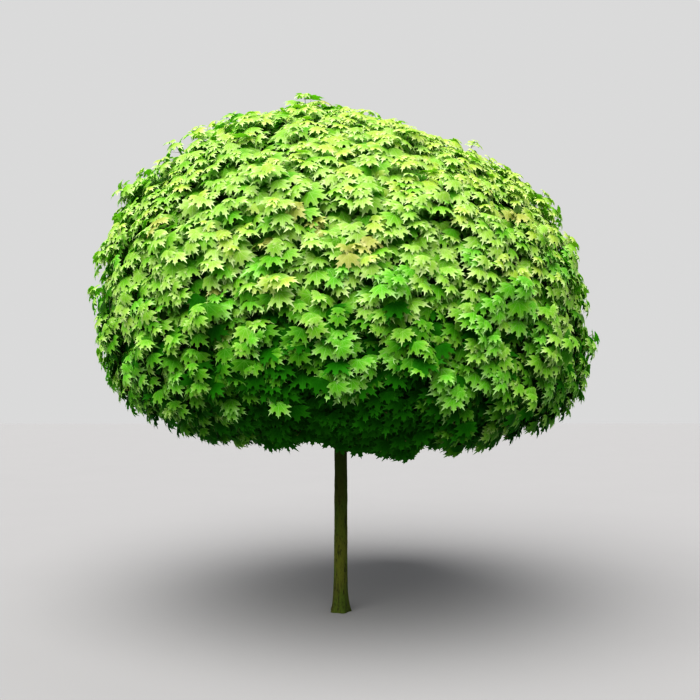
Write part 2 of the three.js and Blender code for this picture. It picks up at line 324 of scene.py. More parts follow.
limb_space = np.stack(
    [
        (spokes * line_normals[line_index]).sum(1),
        (spokes * line_sideways[line_index]).sum(1),
        line_lengths[line_index],
    ],
    1,
)
thickness = np.linalg.norm(limb_space[:, :2], axis=1)


def noise_at(points, across, along, shift):
    """Noise between about -1 and 1 at points given across and along a limb."""
    waves = (points + shift) * [across, across, along]
    return np.array([noise.noise(Vector(wave)) for wave in waves])


ridges = 1 - CREASE * np.abs(noise_at(limb_space, *RIDGE_WAVES))
flakes = 1 - CREASE * np.abs(noise_at(limb_space, *FLAKE_WAVES))
burrs = noise_at(limb_space, *BURR_WAVES)
relief = np.clip(RIDGE_SHARE * ridges + (1 - RIDGE_SHARE) * flakes, -1, 1)
age = np.clip(thickness / (TRUNK_DIAMETER / 2), *AGE_LIMITS)
push = FURROW_DEPTH / 2 * relief * age**FURROW_AGEING + BURR_DEPTH / 2 * burrs * age
moved = bark_points + bark_normals * push[:, None]
on_ground = bark_points[:, 2] < GROUND_NEAR
moved[on_ground, 2] = 0.0
moved[:, 2] = np.maximum(moved[:, 2], 0.0)
bark_mesh.vertices.foreach_set("co", moved.astype(np.float32).ravel())
bark_mesh.attributes.new("limb_space", "FLOAT_VECTOR", "POINT").data.foreach_set(
    "vector", limb_space.astype(np.float32).ravel()
)
bark_mesh.attributes.new("relief", "FLOAT", "POINT").data.foreach_set(
    "value", (0.5 + 0.5 * relief).astype(np.float32)
)
bark_mesh.shade_smooth()
bark_mesh.update()
bark = placed("trunk_and_boughs", bark_mesh)


class Wire:
    """A socket of a material: sums on it add Math nodes, and node() adds any other node."""

    def __init__(self, tree, socket=None):
        self.tree = tree
        self.socket = socket

    def node(self, kind, settings, values, output=0):
        made = self.tree.nodes.new(kind)
        for name, setting in settings.items():
            setattr(made, name, setting)
        for name, value in values.items():
            if isinstance(value, Wire):
                self.tree.links.new(value.socket, made.inputs[name])
            else:
                made.inputs[name].default_value = value
        return Wire(self.tree, made.outputs[output]) if made.outputs else made

    def math(self, operation, *values):
        return self.node("ShaderNodeMath", {"operation": operation}, dict(enumerate(values)))

    def __add__(self, other):
        return self.math("ADD", self, other)

    def __sub__(self, other):
        return self.math("SUBTRACT", self, other)

    def __rsub__(self, other):
        return self.math("SUBTRACT", other, self)

    def __mul__(self, other):
        return self.math("MULTIPLY", self, other)

    __radd__ = __add__
    __rmul__ = __mul__

    def __abs__(self):
        return self.math("ABSOLUTE", self)

    def between(self, low, high):
        """0 at and below low, 1 at and above high, smooth between."""
        return self.node(
            "ShaderNodeMapRange",
            {"interpolation_type": "SMOOTHSTEP"},
            {"Value": self, "From Min": low, "From Max": high},
        )

    def mixed(self, first, second):
        """The first colour where this is 0 and the second where it is 1."""
        values = {0: self, 6: first, 7: second}
        return self.node("ShaderNodeMix", {"data_type": "RGBA"}, values, output=2)

    def noise(self, scale, detail=4.0, roughness=0.55):
        values = {"Vector": self, "Scale": scale, "Detail": detail, "Roughness": roughness}
        return self.node("ShaderNodeTexNoise", {}, values)

    def stretched(self, x, y, z):
        values = {0: self, 1: (x, y, z)}
        return self.node("ShaderNodeVectorMath", {"operation": "MULTIPLY"}, values)


def paint(red, green, blue):
    """A colour given from 0 to 255 as the eye sees it."""
    shares = [value / 255 for value in (red, green, blue)]
    return tuple(s / 12.92 if s < 0.04045 else ((s + 0.055) / 1.055) ** 2.4 for s in shares) + (1.0,)


def new_material(name):
    material = bpy.data.materials.new(name)
    material.use_nodes = True
    material.node_tree.nodes.clear()
    return material, Wire(material.node_tree)


def finish_material(wire, shader):
    wire.node("ShaderNodeOutputMaterial", {}, {"Surface": shader})


FURROW_BROWN = paint(34, 34, 8)
RIDGE_BROWN = paint(94, 100, 32)
FURROW_MOSS = paint(30, 38, 7)
RIDGE_MOSS = paint(84, 107, 29)
WART_TAN = paint(114, 113, 58)
SPECK_OLIVE = paint(52, 60, 17)
DARKER_FOOT = paint(36, 38, 11)
# Painted shade of the crown on the upper stem
SHADED_HEAD = paint(46, 58, 16)


def bark_finish():
    """Olive-brown furrowed bark with mossy patches, darker towards the foot, with painted shade under the
    crown.
    """
    material, wire = new_material("maple_bark")
    place = wire.node("ShaderNodeAttribute", {"attribute_name": "limb_space"}, {}, output="Vector")
    height = wire.node("ShaderNodeAttribute", {"attribute_name": "relief"}, {}, output="Fac")
    whole = wire.node("ShaderNodeTexCoord", {}, {}, output="Object")
    grain = place.stretched(1, 1, 0.2).noise(160, 6, 0.65)
    speckle = place.stretched(1, 1, 0.55).noise(420, 3, 0.6)
    patches = whole.stretched(1, 1, 0.35).noise(9, 3)
    warts = wire.node(
        "ShaderNodeTexVoronoi",
        {"feature": "F1"},
        {"Vector": place.stretched(1, 1, 1.8), "Scale": 70.0},
        output="Distance",
    )
    mottle = place.stretched(1, 1, 0.7).noise(85, 3, 0.7)
    up = wire.node("ShaderNodeSeparateXYZ", {}, {0: whole}, output="Z")
    ridge_mask = (height * 0.45 + grain * 0.4 + mottle * 0.7 - 0.28).between(0.32, 0.68)
    brown = ridge_mask.mixed(FURROW_BROWN, RIDGE_BROWN)
    mossy = ridge_mask.mixed(FURROW_MOSS, RIDGE_MOSS)
    olive = patches.between(0.42, 0.62).mixed(brown, mossy)
    dotted = ((1 - warts.between(0.08, 0.2)) * 0.4).mixed(olive, WART_TAN)
    specked = ((speckle - 0.5) * 0.9 + 0.3).between(0.0, 1.0).mixed(dotted, SPECK_OLIVE)
    # Darker towards the foot
    foot_darkened = ((1 - up.between(0.0, 0.4)) * 0.45).mixed(specked, DARKER_FOOT)
    # Painted shade: the bark darkens up the stem towards the crown, where the crown shades it
    colour = (up.between(0.25, 1.25) * 0.7).mixed(foot_darkened, SHADED_HEAD)
    bump = wire.node(
        "ShaderNodeBump",
        {},
        {"Strength": 0.55, "Distance": 0.004, "Height": grain * 0.7 + speckle * 0.3},
    )
    shader = wire.node(
        "ShaderNodeBsdfPrincipled",
        {},
        {"Base Color": colour, "Roughness": 0.8 + 0.15 * grain, "Normal": bump, "Specular IOR Level": 0.3},
    )
    finish_material(wire, shader)
    return material


bark_mesh.materials.clear()
bark_mesh.materials.append(bark_finish())
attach(bark, "root")
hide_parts(*[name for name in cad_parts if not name.startswith("foliage")])

# Branches, twigs and shoots
# From each bough's tip a stem grows on and forks into arms, the arms into twigs and the twigs into this
# year's thin shoots, all olive-brown living wood, smooth with pale pores, each grown out of the last.
STEM_END = 0.872
STEM_RADII = (0.0128, 0.008)
STEM_STEPS = 16
STEM_SIDES = 8
STEM_LIFT = 0.1
STEM_HUG = 0.45
STEM_ROOT = -3
ARM_STARTS = (0.5, 0.58, 0.64, 0.7, 0.76)
ARM_END = STEM_END - 0.03
ARM_LEAN = 16
ARM_RADII = (0.0078, 0.0052)
ARM_STEPS = 6
ARM_SIDES = 6
ARM_LIFT = 0.15
TWIG_COUNT = 248
LOWEST_TWIG = -0.7
TWIG_SCATTER = 0.05
TWIG_DEPTH = 0.915
TWIG_DEPTH_SCATTER = 0.03
TWIG_RADII = (0.0052, 0.003)
TWIG_STEPS = 6
TWIG_SIDES = 5
TWIG_LIFT = 0.25
TWIG_FROM = 3
SHOOT_COUNT = 2150
LOWEST_SHOOT = -0.8
SHOOT_DEPTH = 0.955
SHOOT_RADII = (0.0028, 0.0013)
SHOOT_STEPS = 5
SHOOT_SIDES = 4
SHOOT_LIFT = 0.45
SHOOT_FROM = 3.5
SHOOT_FROM_SCATTER = 1.49
SHOOT_INSIDE = 0.03
LEADER_SHARE = 0.12
LEADER_RISE = 0.065
LEADER_VARIES = 0.5
LEADER_LIFT = 0.8
LOWEST_LEADER = -0.2
NEARLY_NOTHING = 1e-6
GOLDEN_TURN = math.pi * (3 - math.sqrt(5))

# The rise of a direction below which it counts as low, and the depth over which it becomes fully so
LOW_DOWN = (0.35, 0.9)
UNDERSIDE = (-0.25, 0.3)
LEAF_UNDERSIDE = (-0.3, 0.4)

# Shoots stand in tufts round the twigs' ends. Pairs give a value and what low or underside shoots add.
TUFT_ANGLE = 0.117
TUFT_EDGE = 1.4
TUFT_DEPTH = (0.035, 0.07)
TUFT_LIFT = (0.02, 0.035)
SHOOT_SCATTER = (0.014, 0.03)
UNDERSIDE_HOLLOW = 0.1

# Leaves keep to a share of the crown's reach, less below, with swells and dips of their own outline
LEAF_REACH = 0.988
LEAF_UNDERSIDE_TRIM = 0.045
LEAF_SWELLS = [
    (heading(243, -48), -0.06, 30),
    (heading(268, -42), -0.11, 8),
    (heading(279, -45), 0.12, 7),
    (heading(207, 43), -0.09, 7),
    (heading(200, 33), 0.04, 6),
    (heading(345, 42), 0.045, 16),
    (heading(352, -18), 0.03, 18),
]
foliage_nodes = [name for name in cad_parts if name.startswith("foliage")]


def scatter(index, use):
    """A repeatable scatter between -1 and 1 for each twig or shoot and each use."""
    wave = np.sin(index * 12.9898 + use * 78.233) * 43758.5453
    return 2 * (wave - np.floor(wave)) - 1


def lattice(count, lowest, spread):
    """Directions on a spiral, evenly spread from the top of the crown to its underside."""
    index = np.arange(count)
    rise = 1 - (1 - lowest) * (index + 0.5) / count
    turn = index * GOLDEN_TURN
    across = np.sqrt(1 - rise**2)
    x = across * np.cos(turn) + spread * scatter(index, 5)
    y = across * np.sin(turn) + spread * scatter(index, 6)
    return unit(np.stack([x, y, rise], 1))


def turned(vector, axis, angle):
    """The vector turned about a unit axis by an angle in radians."""
    cross = np.cross(axis, vector)
    along = axis * (axis @ vector)
    return along + (vector - along) * math.cos(angle) + cross * math.sin(angle)


def grown(starts, ends, lift, count, hug=0.5):
    """Paths from starts to ends that come out square to the crown's surface, lifted a little."""
    outward = unit(ends - CROWN_CENTRE)
    leaving = unit(outward + lift * UP)
    length = np.linalg.norm(ends - starts, axis=1, keepdims=True)
    return bezier([starts, ends - leaving * hug * length, ends], count)


def sunk(directions, start, depth):
    """0 for unit directions that rise above the start, growing to 1 over the depth below it."""
    return np.clip((start - directions[..., 2]) / depth, 0, 1)


def leaf_limit(directions):
    """Share of the crown's reach that leaves keep to along unit directions."""
    trim = LEAF_UNDERSIDE_TRIM * sunk(directions, *LEAF_UNDERSIDE)
    return LEAF_REACH - trim + swelling(directions, LEAF_SWELLS)


stem_ends = crown_point(mass_axes, STEM_END)
stem_paths = grown(bough_paths[:, STEM_ROOT], stem_ends, STEM_LIFT, STEM_STEPS, STEM_HUG)
arm_starts, arm_towards, arm_mass = [], [], []
for i, axis in enumerate(mass_axes):
    flat = np.array([-axis[1], axis[0], 0.0])
    across = unit(flat) if np.linalg.norm(flat) > NEARLY_NOTHING else SIDEWAYS
    lean = turned(axis, across, math.radians(ARM_LEAN))
    for j, share in enumerate(ARM_STARTS):
        arm_towards.append(turned(lean, axis, 2 * math.pi * j / len(ARM_STARTS)))
        place = (share - BOUGH_END) / (STEM_END - BOUGH_END)
        arm_starts.append(stem_paths[i, round(place * (STEM_STEPS - 1))])
        arm_mass.append(i)
arm_towards, arm_mass = np.array(arm_towards), np.array(arm_mass)
arm_ends = crown_point(arm_towards, ARM_END)
arm_paths = grown(np.array(arm_starts), arm_ends, ARM_LIFT, ARM_STEPS)

# Twigs grow from the arms and from the stems, whose paths are thinned to as many points
stem_stride = (STEM_STEPS - 1) // (ARM_STEPS - 1)
carrier_paths = np.concatenate([arm_paths, stem_paths[:, ::stem_stride]])
carrier_mass = np.concatenate([arm_mass, np.arange(len(masses))])
twig_towards = lattice(TWIG_COUNT, LOWEST_TWIG, TWIG_SCATTER)
twig_mass = (twig_towards @ mass_axes.T).argmax(1)
twig_index = np.arange(TWIG_COUNT)
twig_depth = TWIG_DEPTH + TWIG_DEPTH_SCATTER * scatter(twig_index, 7)
twig_ends = crown_point(twig_towards, np.minimum(twig_depth, leaf_limit(twig_towards) - 2 * SHOOT_INSIDE))
carrier_gap = np.linalg.norm(twig_ends[:, None] - carrier_paths[None, :, -1], axis=2)
carrier_gap[twig_mass[:, None] != carrier_mass[None]] = np.inf
twig_carrier = carrier_gap.argmin(1)
twig_from = TWIG_FROM + (scatter(twig_index, 8) > 0)
twig_paths = grown(carrier_paths[twig_carrier, twig_from], twig_ends, TWIG_LIFT, TWIG_STEPS)

shoot_index = np.arange(SHOOT_COUNT)
shoot_towards = lattice(SHOOT_COUNT, LOWEST_SHOOT, TWIG_SCATTER / 2)
beside_twigs = shoot_towards @ twig_towards.T
from_twig = np.arccos(np.clip(beside_twigs.max(1), -1, 1))
recess = np.minimum(from_twig / TUFT_ANGLE, TUFT_EDGE) ** 2
low_down = sunk(shoot_towards, *LOW_DOWN)
under = sunk(shoot_towards, *UNDERSIDE)
tuft_lift = (TUFT_LIFT[0] + TUFT_LIFT[1] * under) * scatter(beside_twigs.argmax(1), 11)
shoot_depth = SHOOT_DEPTH - (TUFT_DEPTH[0] + TUFT_DEPTH[1] * low_down) * recess + tuft_lift
shoot_depth += (SHOOT_SCATTER[0] + SHOOT_SCATTER[1] * under) * scatter(shoot_index, 9)
shoot_depth += np.maximum(swelling(shoot_towards, LEAF_SWELLS), 0.0) - UNDERSIDE_HOLLOW * under
shoot_depth = np.minimum(shoot_depth, leaf_limit(shoot_towards) - SHOOT_INSIDE)

# A few shoots above the skirt are leaders that stand out past the rest
leaders = (scatter(shoot_index, 16) > 1 - 2 * LEADER_SHARE) & (shoot_towards[:, 2] > LOWEST_LEADER)
leader_rise = LEADER_RISE * leaders * (1 + LEADER_VARIES * scatter(shoot_index, 13))
shoot_ends = crown_point(shoot_towards, shoot_depth)
shoot_ends += leader_rise[:, None] * unit(shoot_towards + LEADER_LIFT * UP)
twig_gap = np.linalg.norm(shoot_ends[:, None] - twig_paths[None, :, -1], axis=2)
shoot_twig = twig_gap.argmin(1)
shoot_from = (SHOOT_FROM + SHOOT_FROM_SCATTER * scatter(shoot_index, 10)).astype(int)
shoot_paths = grown(twig_paths[shoot_twig, shoot_from], shoot_ends, SHOOT_LIFT, SHOOT_STEPS)

branches = made_piece(
    "branches_and_twigs",
    *joined(
        [
            swept(stem_paths, np.linspace(*STEM_RADII, STEM_STEPS), STEM_SIDES),
            swept(arm_paths, np.linspace(*ARM_RADII, ARM_STEPS), ARM_SIDES),
            swept(twig_paths, np.linspace(*TWIG_RADII, TWIG_STEPS), TWIG_SIDES),
            swept(shoot_paths, np.linspace(*SHOOT_RADII, SHOOT_STEPS), SHOOT_SIDES),
        ]
    ),
)
TWIG_BROWN = paint(64, 56, 32)
TWIG_TAN = paint(108, 92, 54)
PORE_PALE = paint(150, 138, 98)


def twig_finish():
    """Smooth olive-brown twig bark in faint streaks, with pale pores."""
    material, wire = new_material("twig_bark")
    place = wire.node("ShaderNodeTexCoord", {}, {}, output="Object")
    streaks = place.noise(60, 4)
    dots = {"Vector": place, "Scale": 180.0}
    pores = wire.node("ShaderNodeTexVoronoi", {"feature": "F1"}, dots, output="Distance")
    wood = streaks.between(0.35, 0.68).mixed(TWIG_BROWN, TWIG_TAN)
    colour = ((1 - pores.between(0.1, 0.24)) * 0.6).mixed(wood, PORE_PALE)
    bump = wire.node("ShaderNodeBump", {}, {"Strength": 0.3, "Distance": 0.001, "Height": streaks})
    values = {"Base Color": colour, "Roughness": 0.6 + 0.25 * streaks, "Normal": bump}
    finish_material(wire, wire.node("ShaderNodeBsdfPrincipled", {}, values))
    return material


branches.data.materials.append(twig_finish())
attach(branches, "root")
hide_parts(*foliage_nodes)

# Leaves
# Thin blades with five pointed, toothed lobes, in opposite pairs along the end of each shoot, each on
# its own stalk. They hang like roof tiles, the youngest at the tip small and pale, the oldest deep green,
# partly by age and partly as painted shade where they lie under the tips.
LEAF_LENGTH = 0.1
LEAF_SIZE_VARIES = (0.86, 1.14)
TOP_LEAF_SIZE = 0.88
TOP_LEAF_RISES = (0.45, 0.9)
LEAF_HALF = [
    (0.000, 1.040),
    (0.045, 0.870),
    (0.175, 0.830),
    (0.140, 0.710),
    (0.185, 0.585),
    (0.310, 0.640),
    (0.392, 0.765),
    (0.472, 0.690),
    (0.740, 0.875),
    (0.590, 0.610),
    (0.738, 0.540),
    (0.535, 0.455),
    (0.475, 0.365),
    (0.745, 0.250),
    (0.470, 0.062),
    (0.066, -0.034),
    (0.000, 0.050),
]
LEAF_INNER = [(0.0, 0.40), (0.33, 0.36), (-0.33, 0.36)]
STALK_END = (0.0, 0.05)
PAIR_BACK = (0.0, 0.036, 0.09, 0.155)
PAIR_SIZE = (0.58, 0.86, 1.02, 1.06)
PAIR_STALK = (0.02, 0.05, 0.078, 0.096)
BACK_VARIES = (0.85, 1.15)
STALK_VARIES = (0.8, 1.2)
ROLL_VARIES = (-0.3, 0.3)
FIRST_LEAF = 0.05
LEAF_PULL = 0.035
random = np.random.default_rng(19)

# How leaves hang: the shares of each direction in a stalk's way, a blade's face and its tip's way.
# Pairs give a value and what leaves low on the crown add.
LOW_LEAVES = (0.45, 1.0)
STALK_AHEAD = 0.5
STALK_ASIDE = 0.85
STALK_OUTWARD = 0.25
STALK_UP = 0.1
FACE_OUTWARD = 0.62
FACE_LEVEL = (0.3, 0.25)
FACE_UP = (0.46, -0.2)
FACE_ASIDE = 0.16
FACE_SCATTER = 0.27
TIP_STALK = 0.7
TIP_LEVEL = 0.3
TIP_SCATTER = 0.16
BLADE_BEND = (0.26, 0.54)
BEND_CENTRE = 0.3
RAGGED = (-0.035, 0.018)
RAGGED_UNDERSIDE = 1.8


def cut_blade(half, inner):
    """A flat leaf: its points, with the stalk's end near 0 and the tip near 1, and its upward faces."""
    outline = half + [(-x, y) for x, y in half[-2:0:-1]]
    rim = [(i, (i + 1) % len(outline)) for i in range(len(outline))]
    flat = [Vector(point) for point in outline + inner]
    flat, _, faces, *_ = geometry.delaunay_2d_cdt(flat, rim, [], 1, NEARLY_NOTHING)
    points, faces = np.array(flat), np.array(faces)
    first, second, third = (points[faces[:, i]] for i in range(3))
    ab, ac = second - first, third - first
    under = ab[:, 0] * ac[:, 1] - ab[:, 1] * ac[:, 0] < 0
    faces[under] = faces[under][:, ::-1]
    return points, faces


def crown_rise(points):
    """Height of points in the crown, 0 at its foot and 1 at its top."""
    return (points[:, 2] - CROWN_FOOT) / (TREE_HEIGHT - CROWN_FOOT)


def hung(blade, nodes, limb_ahead, spread, stalk, size, more_reach):
    """Leaves that hang from their nodes: each blade's points, its stalk's end, how far it was pulled in."""
    count = len(nodes)
    outward = unit(nodes - CROWN_CENTRE)
    level = outward * [1.0, 1.0, 0.0]
    low = sunk(outward, *LOW_LEAVES)[:, None]
    stalk_way = STALK_AHEAD * limb_ahead + STALK_ASIDE * spread + STALK_OUTWARD * outward
    stalk_way = unit(stalk_way + STALK_UP * UP)
    ends = nodes + stalk_way * stalk[:, None]
    face = FACE_OUTWARD * outward + (FACE_LEVEL[0] + FACE_LEVEL[1] * low) * level
    face = face + (FACE_UP[0] + FACE_UP[1] * low) * UP
    face = unit(face + FACE_ASIDE * spread + FACE_SCATTER * random.normal(size=(count, 3)))
    hang = TIP_STALK * stalk_way + TIP_LEVEL * level - UP + TIP_SCATTER * random.normal(size=(count, 3))
    ahead = unit(hang - face * (hang * face).sum(1, keepdims=True))
    across = np.cross(ahead, face)
    bend = random.uniform(*BLADE_BEND, count)[:, None]
    drop = -bend * (blade[:, 0] ** 2 + (blade[:, 1] - BEND_CENTRE) ** 2)
    shape = across[:, None] * blade[None, :, :1] + ahead[:, None] * blade[None, :, 1:]
    shape = (shape + face[:, None] * drop[:, :, None]) * size[:, None, None]
    foot = np.linalg.norm(blade - STALK_END, axis=1).argmin()
    points = ends[:, None] + shape - shape[:, foot : foot + 1]
    spokes = points - CROWN_CENTRE
    reach = np.linalg.norm(spokes, axis=2)
    towards = spokes / reach[:, :, None]
    raggedness = 1 + RAGGED_UNDERSIDE * sunk(outward, *UNDERSIDE)
    ragged = (more_reach + random.uniform(*RAGGED, count) * raggedness)[:, None]
    pull = np.maximum((reach - (leaf_limit(towards) + ragged) * crown_reach(towards)).max(1), 0.0)
    inward = outward * pull[:, None]
    return points - inward[:, None], ends - inward, pull


blade, blade_faces = cut_blade(LEAF_HALF, LEAF_INNER)
pairs = len(PAIR_BACK)
shoot_lengths = np.linalg.norm(np.diff(shoot_paths, axis=1), axis=2).sum(1)
leaf_shoot = np.repeat(shoot_index, 2 * pairs)
leaf_pair = np.tile(np.repeat(np.arange(pairs), 2), SHOOT_COUNT)
leaf_hand = np.tile([1.0, -1.0], pairs * SHOOT_COUNT)[:, None]
count = len(leaf_shoot)
back = np.array(PAIR_BACK)[leaf_pair] * random.uniform(*BACK_VARIES, count)
place = np.clip(1 - back / shoot_lengths[leaf_shoot], FIRST_LEAF, 1) * (SHOOT_STEPS - 1)
step = np.minimum(place.astype(int), SHOOT_STEPS - 2)
share = (place - step)[:, None]
leaf_nodes = shoot_paths[leaf_shoot, step] * (1 - share) + shoot_paths[leaf_shoot, step + 1] * share
shoot_ahead, shoot_normal, shoot_side = (frames[leaf_shoot, step] for frames in limb_frames(shoot_paths))
roll = random.uniform(0, 2 * np.pi, SHOOT_COUNT)[leaf_shoot] + leaf_pair * np.pi / 2
roll = (roll + random.uniform(*ROLL_VARIES, count))[:, None]
leaf_spread = leaf_hand * (np.cos(roll) * shoot_normal + np.sin(roll) * shoot_side)
leaf_rise = crown_rise(leaf_nodes)
leaf_points, stalk_ends, leaf_pull = hung(
    blade,
    leaf_nodes,
    shoot_ahead,
    leaf_spread,
    np.array(PAIR_STALK)[leaf_pair] * random.uniform(*STALK_VARIES, count),
    LEAF_LENGTH * np.array(PAIR_SIZE)[leaf_pair] * random.uniform(*LEAF_SIZE_VARIES, count)
    * np.interp(leaf_rise, TOP_LEAF_RISES, [1.0, TOP_LEAF_SIZE]),
    leader_rise[leaf_shoot],
)
leaf_fits = leaf_pull < LEAF_PULL

# Inside the crown the twigs carry plainer leaves, which grow in deep shade
SHADE_HALF = [(0, 1), (0.16, 0.54), (0.62, 0.76), (0.4, 0.36), (0.6, 0.24), (0.24, 0.02), (0, 0.05)]
SHADE_INNER = [(0.0, 0.3)]
SHADE_LEAVES = 20
SHADE_STEPS = (1, 5)
SHADE_STALK = (0.06, 0.16)
SHADE_SIZE = (1.1, 1.4)
SHADE_REACH = (0.9, 0.935)
SHADE_REACH_RISES = (0.12, 0.32)
SHADE_PULL = 0.1
shade_blade, shade_faces = cut_blade(SHADE_HALF, SHADE_INNER)
shade_twig = np.repeat(twig_index, SHADE_LEAVES)
shade_count = len(shade_twig)
shade_step = random.integers(*SHADE_STEPS, shade_count)
shade_nodes = twig_paths[shade_twig, shade_step]
twig_ahead, twig_normal, twig_side = (frames[shade_twig, shade_step] for frames in limb_frames(twig_paths))
shade_roll = random.uniform(0, 2 * np.pi, shade_count)[:, None]
shade_spread = np.cos(shade_roll) * twig_normal + np.sin(shade_roll) * twig_side
shade_rise = crown_rise(shade_nodes)
shade_points, shade_ends, shade_pull = hung(
    shade_blade,
    shade_nodes,
    twig_ahead,
    shade_spread,
    random.uniform(*SHADE_STALK, shade_count),
    LEAF_LENGTH * random.uniform(*SHADE_SIZE, shade_count),
    np.interp(shade_rise, SHADE_REACH_RISES, SHADE_REACH) - LEAF_REACH,
)
shade_fits = shade_pull < SHADE_PULL

# Tints are dealt out by spray: lighter towards the top and the young tips, deeper below and within, partly
# as the leaves' own colour and partly as painted light and shade; painted light on the sunny side and
# painted shade on the shaded side. Each has its gloss and the colours of the blade, its rim and its tips.
TINTS = [
    ("leaves_shade", "foliage_skirt", 0.03, paint(30, 94, 6), paint(47, 116, 18), paint(56, 121, 36)),
    ("leaves_deep", "foliage_skirt", 0.07, paint(58, 122, 8), paint(93, 149, 36), paint(127, 171, 92)),
    ("leaves_green", "foliage_skirt", 0.12, paint(82, 151, 11), paint(119, 173, 54), paint(156, 194, 124)),
    ("leaves_bright", "foliage_upper", 0.24, paint(102, 165, 14), paint(143, 188, 74), paint(186, 207, 148)),
    ("leaves_fresh", "foliage_upper", 0.42, paint(121, 175, 26), paint(160, 197, 97), paint(200, 214, 166)),
    ("leaves_lime", "foliage_top", 0.5, paint(136, 181, 44), paint(171, 202, 111), paint(206, 217, 172)),
    ("leaves_gold", "foliage_top", 0.5, paint(151, 184, 44), paint(184, 204, 109), paint(213, 219, 168)),
    ("leaves_vivid", "foliage_skirt", 0.18, paint(93, 168, 14), paint(135, 191, 78), paint(180, 211, 154)),
    ("leaves_bronze", "foliage_top", 0.4, paint(146, 156, 60), paint(180, 183, 108), paint(198, 199, 142)),
]
TINT_NAMES = [tint[0] for tint in TINTS]

# A spray's lightness picks its tint at the steps of LIGHTER_FROM. It grows with the height in the crown,
# partly as painted light, sinks between the tufts as painted shade, more so low down, and carries
# painted shade on the shaded side and painted light on the sunny side.
LIGHTER_FROM = (0.14, 0.3, 0.47, 0.65, 0.85, 1.08)
LIGHTNESS_RISES = (0.0, 0.2, 0.4, 0.7, 1.0)
LIGHTNESS = (0.18, 0.45, 0.8, 0.94, 1.05)
# Painted shade on the shaded side low in front, painted light on the sunny side above
PAINTED_LIGHT_SIDES = [(heading(268, -33), -0.72, 23), (heading(318, 40), 0.28, 34)]
SPRAYS_VARY = 0.12
# Painted shade: sprays sunk between the tufts take deeper tints
RECESS_DARKER = (0.1, 0.2)
# Older pairs lie under the young tips: deeper partly by age and partly as painted shade
PAIR_LIGHTER = (0.18, 0.08, -0.2, -0.42)
BRONZE_SPRAYS = 0.02
BRONZE_TUFTS = np.array([heading(256, 12), heading(263, 14), heading(273, 9)])
BRONZE_ANGLE = 3.4
BRONZE_PAIRS = 2
LOWEST_BRONZE = 0.4
# Painted light: vivid sprays brighten the outer leaves low on the crown, away from the underside
VIVID_SPRAYS = 0.5
VIVID_LOW_DOWN = 2.5
VIVID_UNDER = 2
VIVID_RECESS = 0.4
VIVID_PAIRS = 3
# Painted light: the plainer leaves within take lighter tints higher up the crown
SHADE_LIGHTER_FROM = (0.34, 0.48, 0.62)
SHADE_VARIES = 0.08
height_lightness = np.interp(leaf_rise, LIGHTNESS_RISES, LIGHTNESS)
spray_lightness = SPRAYS_VARY * random.normal(size=SHOOT_COUNT)
spray_lightness -= (RECESS_DARKER[0] + RECESS_DARKER[1] * low_down) * recess
spray_lightness += swelling(shoot_towards, PAINTED_LIGHT_SIDES)
lightness = height_lightness + spray_lightness[leaf_shoot] + np.array(PAIR_LIGHTER)[leaf_pair]
leaf_tint = np.searchsorted(LIGHTER_FROM, lightness)
in_tuft = (shoot_towards @ BRONZE_TUFTS.T).max(1) > math.cos(math.radians(BRONZE_ANGLE))
bronze = in_tuft | (random.uniform(size=SHOOT_COUNT) < BRONZE_SPRAYS)
bronze_leaves = bronze[leaf_shoot] & (leaf_pair < BRONZE_PAIRS) & (leaf_rise > LOWEST_BRONZE)
leaf_tint[bronze_leaves] = TINT_NAMES.index("leaves_bronze")
vivid_share = np.clip(VIVID_LOW_DOWN * low_down, 0, 1) * np.clip(1 - VIVID_UNDER * under, 0, 1)
vivid = random.uniform(size=SHOOT_COUNT) < VIVID_SPRAYS * vivid_share
vivid &= (recess < VIVID_RECESS) & ~bronze
leaf_tint[vivid[leaf_shoot] & (leaf_pair < VIVID_PAIRS)] = TINT_NAMES.index("leaves_vivid")
shade_lightness = shade_rise + SHADE_VARIES * random.normal(size=shade_count)
shade_tint = np.searchsorted(SHADE_LIGHTER_FROM, shade_lightness)

# The blade's middle is deep, partly as painted shade from the leaf above, its rim paler and its lobes'
# tips and veins the palest. Light comes through it greener than it falls on it. The map spans one blade,
# from its lower left corner.
LEAF_MAP = "OFBake"
MAP_CORNER = (-0.75, -0.05)
MAP_SIZE = (1.5, 1.1)
VEIN_TIPS = ((0.0, 0.95), (0.74, 0.825), (0.745, 0.2))
VEIN_EDGE = (0.004, 0.018)
BLADE_CENTRE = 0.2
RIM_FROM = (0.2, 0.66)
TIPS_FROM = (0.5, 0.92)
TIPS_SHARE = 0.9
NET_SCALE = 13.0
NET_SHARE = 0.12
VEIN_SHARE = 0.4
GLOW_SHARE = 0.34
GLOW_KEPT = 0.6


